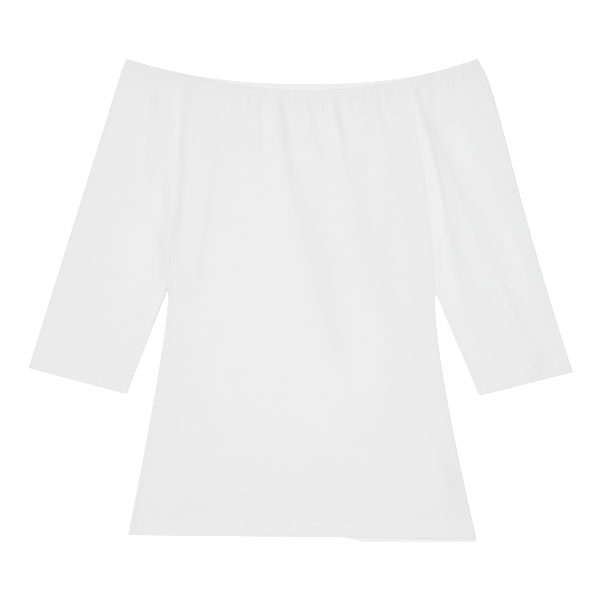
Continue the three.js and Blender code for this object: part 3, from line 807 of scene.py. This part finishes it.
def sleeve(name, side):
    """A closed ring of points for every row up the sleeve, with one column at the armhole's upper end."""
    u, v = grid_places("sleeve", ARMHOLE_SHARE)
    plan = {layer: coons(*sleeve_outline(layer, side), u, v) for layer in ("front", "back")}
    inner, along, up = cuff_axes(side)
    across_front = plan["front"] @ along
    across_back = 2 * across_front[:, -1:] - plan["back"] @ along
    from_cuff = (plan["front"] - plan["front"][:1]) @ up
    layers = turn_up(from_cuff)
    wall = CLOTH + TURN_UP["extra"] * layers

    x, y = plan["front"][..., 0], plan["front"][..., 1]
    from_edge = from_nearer(sleeve_edges(side), x, y)
    full = rounded(np.minimum(from_edge, np.minimum(u, 1 - u) * END_SLOPE))
    top = sleeve_height(side, x, y)
    bottom = loft("back", plan["back"][..., 0], plan["back"][..., 1])
    middle = (top + bottom) / 2
    fold = hem_fold(from_cuff)

    def ring(front_z, back_z, inset):
        share = mix(inset, 1 - inset, u)
        sides = [coons(*sleeve_outline(layer, side), share, v) for layer in ("front", "back")]
        heights = [mix(middle, z, full) for z in (front_z, back_z)]
        return joined(raised(sides[0], heights[0]), raised(sides[1], heights[1]))

    outer_ring = ring(top - fold, bottom + fold, 0.0)
    inner_ring = ring(top - wall + fold, bottom + wall - fold, CLOTH / GRID["sleeve"]["width"])
    uv_front = np.stack([across_front, plan["front"] @ up], axis=-1)
    uv_back = np.stack([across_back, plan["back"] @ up], axis=-1)
    at_minus_x = (u < 0.5) == (side["sign"] > 0)
    # drawn and edge are painted shade
    masks = {
        "layers": np.zeros_like(from_edge),
        "drawn": painted_gather_shade(x, y),
        "edge": at_edge(from_edge, at_minus_x),
    }
    masks = {label: joined(mask, mask) for label, mask in masks.items()}
    return tube_shell(name, outer_ring, inner_ring, joined(uv_front, uv_back), masks, turned=side["sign"] < 0)


left_sleeve = sleeve("left_arm_sleeve", SIDES["plus"])
right_sleeve = sleeve("right_arm_sleeve", SIDES["minus"])

# %% [markdown]
# ## The elastic casing
#
# The casing is a folded band with elastic in it, one closed ring that lies flattened: its front run over
# its back run. Along its lower edge it is as high as the cloth that hangs from it, and eases to its own
# height above. The elastic draws it into the same puckers that run on into the cloth, so both use one
# list of places. In the middle the back run stands higher than the front's and shows its inner face.

# %% Height of the casing's front run
FOLD_TIP = {"radius": 1.0, "fall": 0.3}  # how the casing's folded upper edge rounds over
# how the back run rises to show above the front run, and what it leaves free under that
BACK_PEEK = {"rise": 1.9, "from": -4.5, "over": 5.0, "clear": 0.1}


def band_height(x, w):
    """From the panels' height at the casing's lower edge to the band's own top over its lower half, plus
    puckers and the seam's groove. w is 0 on the lower edge and 1 on the upper."""
    y = below_casing("front", x, np.zeros_like(x))
    from_corner = NECK["half_width"] - np.abs(x - NECK["middle_x"])
    edge = 2 * CLOTH + trapped_air(AIR["from_hem"], from_corner) + loft("back", x, y) + loft("front", x, y)
    band = 2 * CASING["wall"] + CASING["gap"]
    drop = -w * CASING["depth"]
    return mix(edge, band, smooth(2 * w)) + puckers(x, drop) + seam_groove(drop, SEAM["at_casing"])


def peek(x, y):
    """How far the back run is lifted: its rise, eased in across the front run's upper edge."""
    above = -below_casing("front", x, y) - CASING["depth"]
    return BACK_PEEK["rise"] * smooth((above - BACK_PEEK["from"]) / BACK_PEEK["over"])


def casing_top(x, y):
    """The same height from a place on the floor plan, for the stitches."""
    return band_height(x, -below_casing("front", x, y) / CASING["depth"])


# %% The elastic casing
CASING_ROWS = (  # from its lower edge up, closer together at both edges
    0, 0.04, 0.3, 0.8, 1.5, 2.4, 3.6, 5, 6.6, 8.4, 10.2, 11.8, 13.2, 14.2, 14.7, 15.05, 15.3, 15.43, 15.5,
)
CASING_COLUMNS = 400  # even ones along a run


def casing_band():
    """Four rows of surfaces in one profile: the outer face of the ring going up, the inner one going down."""
    wall, depth, length = CASING["wall"], CASING["depth"], 2 * NECK["half_width"]
    k = spaced(CASING_COLUMNS, near_ends(length))[None, :]
    w = np.array(CASING_ROWS)[:, None] / depth
    full = rounded(np.minimum(k, 1 - k) * length)
    tip = FOLD_TIP["fall"] * (1 - quarter_round(depth * (1 - w), FOLD_TIP["radius"]))
    middle = wall + CASING["gap"] / 2

    def run(layer, outside):
        """One face of one run, mixed towards the height between the runs at both corners."""
        inset = 0.0 if outside else wall / length
        s, ww = np.broadcast_arrays(2 * mix(inset, 1 - inset, k) - 1, w)
        points = neck_point(layer, s, ww)
        lift = peek(points[..., 0], points[..., 1])
        if layer == "front":
            top = band_height(points[..., 0], ww)
            z = top - tip if outside else np.maximum(top - wall, wall + lift + BACK_PEEK["clear"]) + tip
        else:
            z = lift + tip if outside else wall + lift - tip
        return raised(points, mix(middle, z, full))

    outer, inner = [joined(run("front", outside), run("back", outside)) for outside in (True, False)]
    profile = np.concatenate([outer, inner[::-1]], axis=0)
    along = length * np.concatenate([k[0], 2 - k[0, -2:0:-1]])
    up_band = depth * np.concatenate([w[:, 0], 2 - w[::-1, 0]])
    uv = np.stack(np.broadcast_arrays(along[None, :], up_band[:, None]), axis=-1)
    # painted light: the back run's inner face, where it shows above the front run, is made lighter by this
    # mask
    painted_light_inner_back = np.zeros(profile.shape[:2])
    painted_light_inner_back[len(w):, k.size:] = 1
    index = np.arange(painted_light_inner_back.size).reshape(painted_light_inner_back.shape)
    faces = grid_faces(np.concatenate([index, index[:1]], axis=0), ring=True)
    masks = {"layers": painted_light_inner_back}
    return mesh_piece("elastic_casing", profile.reshape(-1, 3), faces, uv.reshape(-1, 2), masks)


casing_piece = casing_band()

# %% [markdown]
# ## Stitches
#
# Hem and cuffs are held by two parallel rows of thread, and the casing by one. A stitch is a tiny
# spindle of thread. It is worked out once and laid at every place of a row by adding arrays.

# %% Stitches
STITCH = {"length": 2.6, "pitch": 3.3, "radius": 0.2, "tip": 0.12, "rings": 6}


def stitch_rows(name, lines, height):
    """Spindles of radius r sin^0.6 along, in six-sided rings, turned to the row's direction and set on the
    cloth."""
    a = np.linspace(0, np.pi, STITCH["rings"])
    b = np.linspace(0, 2 * np.pi, 6, endpoint=False)
    forward = -np.cos(a)[:, None] * np.ones(6) * STITCH["length"] / 2
    thick = STITCH["radius"] * np.sin(a)[:, None] ** 0.6
    thick[[0, -1]] = STITCH["radius"] * STITCH["tip"]
    side, rise = thick * np.cos(b), thick * np.sin(b)
    template = np.arange(forward.size).reshape(forward.shape)
    cap = np.array([[0, 1, 2, 3], [0, 3, 4, 5]])
    spindle = np.concatenate([grid_faces(template, True)[:, ::-1], cap, cap[:, ::-1] + template[-1, 0]])
    points, faces, base = [], [], 0
    for line in lines:
        steps = np.linalg.norm(np.diff(line, axis=0), axis=1)
        run = np.concatenate([[0], np.cumsum(steps)])
        places = np.arange(STITCH["pitch"] / 2, run[-1] - STITCH["pitch"] / 2, STITCH["pitch"])
        at = np.stack([np.interp(places, run, line[:, i]) for i in range(2)], axis=-1)
        ahead = np.stack([np.interp(places + 0.5, run, line[:, i]) for i in range(2)], axis=-1) - at
        ahead /= np.linalg.norm(ahead, axis=1)[:, None]
        px = at[:, 0, None, None] + ahead[:, 0, None, None] * forward - ahead[:, 1, None, None] * side
        py = at[:, 1, None, None] + ahead[:, 1, None, None] * forward + ahead[:, 0, None, None] * side
        pz = height(px, py) + rise
        points.append(np.stack([px, py, pz], axis=-1).reshape(-1, 3))
        first = base + template.size * np.arange(len(places))
        faces.append((spindle[None] + first[:, None, None]).reshape(-1, 4))
        base += template.size * len(places)
    points, faces = np.concatenate(points), np.concatenate(faces)
    return mesh_piece(name, points, faces, points[:, :2])


# %% Rows of stitches
ROWS_UP = (13.5, 18.0)  # a twin needle's two rows, above the folded edge
CASING_ROW = 0.13  # up the casing, as a share of its depth
ROW_ENDS = {"hem": 5, "cuff": 4, "casing": 0.985}  # short of the edges, and the share of the half width


def hem_line(up):
    left, right = SIDES["minus"]["hem_corner"][0], SIDES["plus"]["hem_corner"][0]
    x = np.linspace(left + ROW_ENDS["hem"], right - ROW_ENDS["hem"], 120)
    return xy(x, front_hem_y(x) + up)


def cuff_line(side, up):
    inner, along, upwards = cuff_axes(side)
    width = np.linalg.norm(np.array(side["cuff_outer"]) - inner)
    places = np.linspace(ROW_ENDS["cuff"], width - ROW_ENDS["cuff"], 40)
    return inner + places[:, None] * along + up * upwards


casing_line = neck_point("front", np.linspace(-1, 1, 200) * ROW_ENDS["casing"], CASING_ROW)
hem_stitches = stitch_rows("hem_stitches", [hem_line(up) for up in ROWS_UP], front_height)
cuff_stitches = [
    stitch_rows(f"{name}_cuff_stitches", [cuff_line(side, up) for up in ROWS_UP],
                lambda x, y, side=side: sleeve_height(side, x, y))
    for name, side in (("left", SIDES["plus"]), ("right", SIDES["minus"]))
]
casing_stitches = stitch_rows("casing_stitches", [casing_line], casing_top)
all_stitches = [hem_stitches, *cuff_stitches, casing_stitches]

# %% [markdown]
# ## Knit jersey
#
# Single jersey shows columns of small V-shaped loops on its right side, called wales. A shader group
# builds one loop from the UV map, in metres: two slanting legs a column, cut into loops along it. It is
# used as bump only, because white jersey shows its loops by their shade and not by their colour.

# %% The knit's shader group
# a loop's width, its width where the elastic draws the cloth together, and its height
WALE, CASING_WALE, COURSE = 1.1 * MM, 0.85 * MM, 0.85 * MM


def add(tree, kind, **settings):
    node = tree.nodes.new(kind)
    for key, value in settings.items():
        setattr(node, key, value)
    return node


def set_inputs(node, values):
    for label, value in values.items():
        node.inputs[label].default_value = value


def maths(tree, operation, *values):
    """A Math node whose inputs are numbers or other nodes' outputs."""
    node = add(tree, "ShaderNodeMath", operation=operation)
    for socket, value in zip(node.inputs, values):
        if isinstance(value, (int, float)):
            socket.default_value = value
        else:
            tree.links.new(value, socket)
    return node.outputs[0]


def new_group(name, inputs, outputs):
    group = bpy.data.node_groups.new(name, "ShaderNodeTree")
    for label, kind, value in inputs:
        socket = group.interface.new_socket(label, in_out="INPUT", socket_type=kind)
        if value is not None:
            socket.default_value = value
    for label, kind in outputs:
        group.interface.new_socket(label, in_out="OUTPUT", socket_type=kind)
    return group, add(group, "NodeGroupInput"), add(group, "NodeGroupOutput")


def knit_group():
    """Loops of jersey. p runs from 0 in the middle of a wale to 1 between two wales. A leg's height is
    1 - (2p - 1)^2, and each loop adds a cosine along the wale, slanted by p so the legs form a V."""
    group, inputs, outputs = new_group(
        "jersey_loops",
        [("Cloth UV", "NodeSocketVector", None), ("Wale Width", "NodeSocketFloat", WALE),
         ("Course Height", "NodeSocketFloat", COURSE)],
        [("Height", "NodeSocketFloat"), ("Gap Mask", "NodeSocketFloat")],
    )
    split = add(group, "ShaderNodeSeparateXYZ")
    group.links.new(inputs.outputs["Cloth UV"], split.inputs[0])
    wale = maths(group, "FRACT", maths(group, "DIVIDE", split.outputs["X"], inputs.outputs["Wale Width"]))
    p = maths(group, "MULTIPLY", maths(group, "ABSOLUTE", maths(group, "SUBTRACT", wale, 0.5)), 2.0)
    centred = maths(group, "SUBTRACT", maths(group, "MULTIPLY", p, 2.0), 1.0)
    leg = maths(group, "SUBTRACT", 1.0, maths(group, "MULTIPLY", centred, centred))
    course = maths(group, "DIVIDE", split.outputs["Y"], inputs.outputs["Course Height"])
    slanted = maths(group, "SUBTRACT", course, maths(group, "MULTIPLY", p, 0.75))
    beat = maths(group, "COSINE", maths(group, "MULTIPLY", slanted, 2 * math.pi))
    loop = maths(group, "ADD", maths(group, "MULTIPLY", beat, 0.3), 0.7)
    height = maths(group, "MULTIPLY", leg, loop)
    group.links.new(height, outputs.inputs["Height"])
    group.links.new(maths(group, "SUBTRACT", 1.0, height), outputs.inputs["Gap Mask"])
    return group


KNIT = knit_group()

# %% [markdown]
# ## Yarn and wear of light
#
# Yarn is never quite even. A second group gives two kinds of noise on Object coordinates: soft clouds
# a few centimetres wide, where the cloth is a touch thicker or thinner, and a fine fuzz of fibres.

# %% The yarn's shader group
def yarn_group():
    """Clouds: noise of about 40 mm and 9 mm, averaged. Fuzz: noise of about 0.6 mm."""
    group, inputs, outputs = new_group(
        "uneven_yarn", [("Place", "NodeSocketVector", None)],
        [("Clouds", "NodeSocketFloat"), ("Fuzz", "NodeSocketFloat")],
    )
    sizes = {"wide": 25.0, "small": 110.0, "fibre": 1700.0}
    noises = {}
    for label, scale in sizes.items():
        noise = add(group, "ShaderNodeTexNoise", label=label)
        set_inputs(noise, {"Scale": scale, "Detail": 2.0})
        group.links.new(inputs.outputs["Place"], noise.inputs["Vector"])
        noises[label] = noise.outputs["Fac"]
    clouds = maths(group, "ADD", maths(group, "MULTIPLY", noises["wide"], 0.6),
                   maths(group, "MULTIPLY", noises["small"], 0.4))
    group.links.new(clouds, outputs.inputs["Clouds"])
    group.links.new(noises["fibre"], outputs.inputs["Fuzz"])
    return group


YARN = yarn_group()

# %% [markdown]
# ## The materials
#
# All pieces are the same white jersey. A turned-up layer lets less of what is under it show through, so it
# looks a touch lighter; the "layers" attribute of the mesh says where. The back's turned-up hem is lighter
# still, painted light that evens out the shade beside the front's hem. The "drawn" and "edge" attributes
# bring in painted shade. The casing is drawn together by its elastic, so its wales stand closer; its colour
# is painted darker all over as their shade, and its "layers" attribute marks the inner face of its back run,
# which is painted lighter.

# %% Jersey materials
def new_material(name):
    """A material with nodes, its node tree and its shader."""
    material = bpy.data.materials.new(name)
    material.use_nodes = True
    return material, material.node_tree, material.node_tree.nodes["Principled BSDF"]


def jersey(name, thin, thick, tones, wale):
    """Base Color goes from thin to thick with the clouds, and then towards the tone of each mesh attribute
    by that attribute, which brings in the lighter doubled cloth, painted shade and painted light. The bump's
    height is the loops plus a little fuzz."""
    material, tree, shader = new_material(name)
    uv = add(tree, "ShaderNodeUVMap", uv_map="cloth_uv")
    place = add(tree, "ShaderNodeTexCoord")
    knit = add(tree, "ShaderNodeGroup", node_tree=KNIT)
    set_inputs(knit, {"Wale Width": wale, "Course Height": COURSE})
    tree.links.new(uv.outputs["UV"], knit.inputs["Cloth UV"])
    yarn = add(tree, "ShaderNodeGroup", node_tree=YARN)
    tree.links.new(place.outputs["Object"], yarn.inputs["Place"])

    base = add(tree, "ShaderNodeMix", data_type="RGBA")
    set_inputs(base, {"A": (*thin, 1), "B": (*thick, 1)})
    cloud = add(tree, "ShaderNodeMapRange")
    set_inputs(cloud, {"From Min": 0.35, "From Max": 0.65})
    tree.links.new(yarn.outputs["Clouds"], cloud.inputs["Value"])
    tree.links.new(cloud.outputs["Result"], base.inputs["Factor"])
    tone = base.outputs["Result"]
    for label, other in tones.items():
        mask = add(tree, "ShaderNodeAttribute", attribute_name=label)
        toned = add(tree, "ShaderNodeMix", data_type="RGBA")
        tree.links.new(mask.outputs["Fac"], toned.inputs["Factor"])
        tree.links.new(tone, toned.inputs["A"])
        set_inputs(toned, {"B": (*other, 1)})
        tone = toned.outputs["Result"]
    tree.links.new(tone, shader.inputs["Base Color"])

    bump = add(tree, "ShaderNodeBump")
    set_inputs(bump, {"Strength": 0.55, "Distance": 0.16 * MM})
    height = maths(tree, "ADD", maths(tree, "MULTIPLY", knit.outputs["Height"], 0.8),
                   maths(tree, "MULTIPLY", yarn.outputs["Fuzz"], 0.5))
    tree.links.new(height, bump.inputs["Height"])
    tree.links.new(bump.outputs["Normal"], shader.inputs["Normal"])
    set_inputs(shader, {"Roughness": 0.92, "Specular IOR Level": 0.2})
    set_inputs(shader, {"Sheen Weight": 0.06, "Sheen Roughness": 0.6})
    return material


def white(level):
    """A white of the given level, a touch cool."""
    return level, level, level + 0.004


# layers is the lighter doubled cloth; drawn and edge are painted shade
FRONT_TONES_AND_SHADE = {"layers": white(0.786), "drawn": white(0.752), "edge": white(0.747)}
WHITE_JERSEY = jersey("white_jersey", white(0.766), white(0.77), FRONT_TONES_AND_SHADE, WALE)
# the back's turned-up hem: partly lighter doubled cloth, partly painted light against the shade beside the
# front's hem
BACK_JERSEY_LIT_HEM = jersey("back_jersey_painted_light_hem", white(0.766), white(0.77), {"layers": white(0.81)}, WALE)
# painted shade: the casing's colour is darker all over; painted light: the inner face of its back run is
# lighter
CASING_JERSEY_SHADED_AND_LIT = jersey("casing_jersey", white(0.75), white(0.754), {"layers": white(0.79)}, CASING_WALE)


def thread_material():
    """Twisted thread: a faint shade that waves across the stitch, on Object coordinates."""
    material, tree, shader = new_material("white_thread")
    place = add(tree, "ShaderNodeTexCoord")
    twist = add(tree, "ShaderNodeTexWave", wave_type="BANDS", bands_direction="DIAGONAL")
    set_inputs(twist, {"Scale": 700.0})
    tree.links.new(place.outputs["Object"], twist.inputs["Vector"])
    tone = add(tree, "ShaderNodeMix", data_type="RGBA")
    set_inputs(tone, {"A": (0.74, 0.74, 0.745, 1), "B": (0.79, 0.79, 0.795, 1)})
    tree.links.new(twist.outputs["Fac"], tone.inputs["Factor"])
    tree.links.new(tone.outputs["Result"], shader.inputs["Base Color"])
    set_inputs(shader, {"Roughness": 0.6})
    return material


THREAD = thread_material()
for piece in (front_piece, left_sleeve, right_sleeve):
    piece.data.materials.append(WHITE_JERSEY)
back_piece.data.materials.append(BACK_JERSEY_LIT_HEM)
casing_piece.data.materials.append(CASING_JERSEY_SHADED_AND_LIT)
for rows in all_stitches:
    rows.data.materials.append(THREAD)

# %% [markdown]
# ## Each piece in place of its solid
#
# Each piece of cloth stands for one solid of the imported model. The garment is cloth, so it has no
# joints, and every piece rides on the one body.

# %% Pieces and their solids
def dress(piece, node):
    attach(piece, "root")
    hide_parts(node)


dress(back_piece, "back_body")
dress(front_piece, "front_body")
dress(left_sleeve, "sleeve_left_arm")
dress(right_sleeve, "sleeve_right_arm")
dress(casing_piece, "neck_casing")
for rows in all_stitches:
    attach(rows, "root")

# %% [markdown]
# ## Floor and light
#
# The photograph is a cut-out on white, under soft studio light. A soft box straight above does nearly half
# of the lighting and an even sky over a third, so edges cast hardly any shadow beside them. The rest is a
# distant lamp from the upper left, which gives the folds their shade. The floor glows a little, which
# keeps it white right up to the garment.

# %% Floor
floor_mesh = bpy.data.meshes.new("floor")
reach, level = 6.0, -0.1 * MM  # just under the cloth, so the two don't share a face
corners = [(-reach, -reach, level), (reach, -reach, level), (reach, reach, level), (-reach, reach, level)]
floor_mesh.from_pydata(corners, [], [(0, 1, 2, 3)])
floor = put("floor", floor_mesh)
floor_material, _, floor_shader = new_material("white_floor")
set_inputs(floor_shader, {"Base Color": (0.95, 0.95, 0.95, 1), "Roughness": 0.9, "Specular IOR Level": 0.1})
set_inputs(floor_shader, {"Emission Color": (1, 1, 1, 1), "Emission Strength": 0.2})
floor_mesh.materials.append(floor_material)

# %% Sky and lamps
world = bpy.data.worlds.new("studio")
bpy.context.scene.world = world
world.use_nodes = True
set_inputs(world.node_tree.nodes["Background"], {"Color": (1, 1, 1, 1), "Strength": 0.44})


def lamp(name, place, aim, size, watts):
    """A disk of light at a place, turned so that it faces its aim."""
    data = bpy.data.lights.new(name, "AREA")
    data.shape, data.size, data.energy = "DISK", size, watts
    light = put(name, data)
    light.location = place
    direction = np.array(aim) - np.array(place)
    yaw, flat = math.atan2(direction[1], direction[0]), math.hypot(direction[0], direction[1])
    light.rotation_euler = (math.atan2(flat, -direction[2]), 0, yaw - math.pi / 2)


lamp("soft_box", (0.03, 0.0, 1.8), aim=(0.03, 0.0, 0), size=0.9, watts=17.27)
lamp("key_light", (-14.0, 4.0, 13.2), aim=(0, 0, 0), size=9.6, watts=1088.0)
bpy.context.scene.view_settings.view_transform = "Standard"
